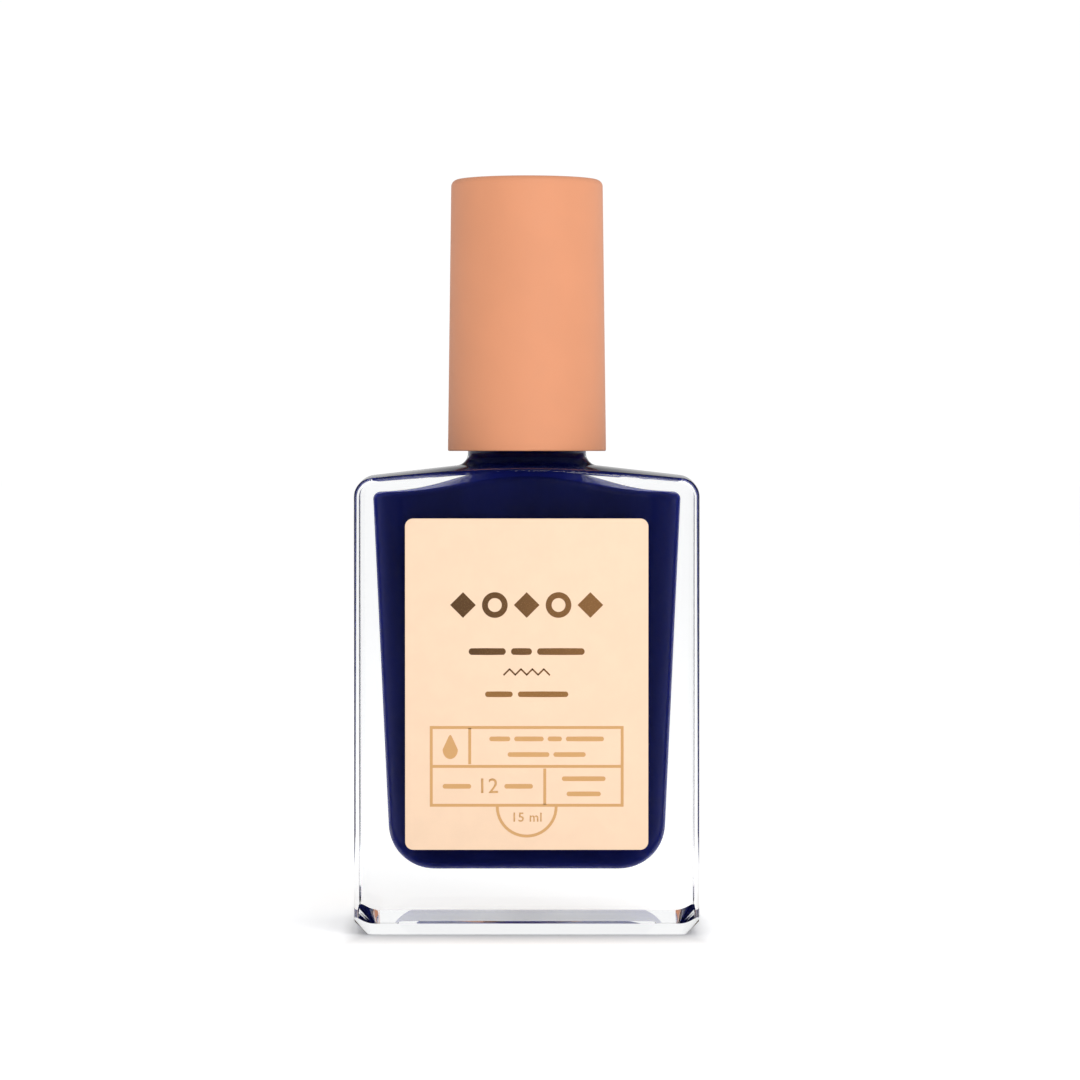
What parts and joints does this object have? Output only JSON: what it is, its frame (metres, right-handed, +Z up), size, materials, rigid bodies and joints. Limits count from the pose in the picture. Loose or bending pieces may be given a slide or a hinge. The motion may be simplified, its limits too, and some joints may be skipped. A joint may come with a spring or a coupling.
{
  "type": "nail polish bottle",
  "caption": "Square-shouldered clear glass nail polish bottle with dark blue polish, a tall peach screw cap with a brush inside it, and a plain peach label.",
  "frame": {"origin": "on the table, under the middle of the base", "axes": "+Z up the bottle and its cap, -Y out of the front label, +X to the right of someone who looks at the front"},
  "size_m": [0.0364, 0.0202, 0.0803],
  "materials": {
    "clear_glass": "clear flint glass, fire polished",
    "navy_polish": "opaque glossy lacquer, liquid",
    "label_paper": "coated paper, satin",
    "gold_ink": "printed metallic ink on the labels",
    "peach_plastic": "soft-touch coating, matt",
    "white_plastic": "moulded polypropylene",
    "washer_foam": "polyethylene foam",
    "black_plastic": "moulded polyethylene",
    "anchor_metal": "rolled strip",
    "bristle_nylon": "nylon filament",
    "ball_steel": "polished stainless steel"
  },
  "bodies": {
    "bottle": {"glass_bottle": "clear_glass", "polish": "navy_polish", "front_label": "label_paper", "back_label": "label_paper"},
    "washer": {"sealing_washer": "washer_foam"},
    "brush": {"brush_stem": "black_plastic", "brush_anchor": "anchor_metal", "bristles": "bristle_nylon"},
    "cap": {"outer_cap": "peach_plastic", "inner_cap": "white_plastic"},
    "ball_left": {"mixing_ball_left": "ball_steel"},
    "ball_right": {"mixing_ball_right": "ball_steel"}
  },
  "joints": [
    {"name": "cap_lift", "type": "slide", "parent": "bottle", "child": "washer", "axis": [0, 0, 1], "range_m": [0, 0.075], "deforming": ["polish"]},
    {"name": "cap_rise", "type": "slide", "parent": "washer", "child": "brush", "axis": [0, 0, 1], "range_m": [0, 0.00424]},
    {"name": "cap_unscrew", "type": "hinge", "parent": "brush", "child": "cap", "pos_m": [0, 0, 0.056], "axis": [0, 0, 1], "range_deg": [0, 720]},
    {"name": "ball_left_shake", "type": "slide", "parent": "bottle", "child": "ball_left", "axis": [0, 0, 1], "range_m": [0, 0.035]},
    {"name": "ball_right_shake", "type": "slide", "parent": "bottle", "child": "ball_right", "axis": [0, 0, 1], "range_m": [0, 0.035]}
  ],
  "couplings": [
    {"joint": "cap_rise", "follows": "cap_unscrew", "m_per_rad": 0.00033688}
  ]
}
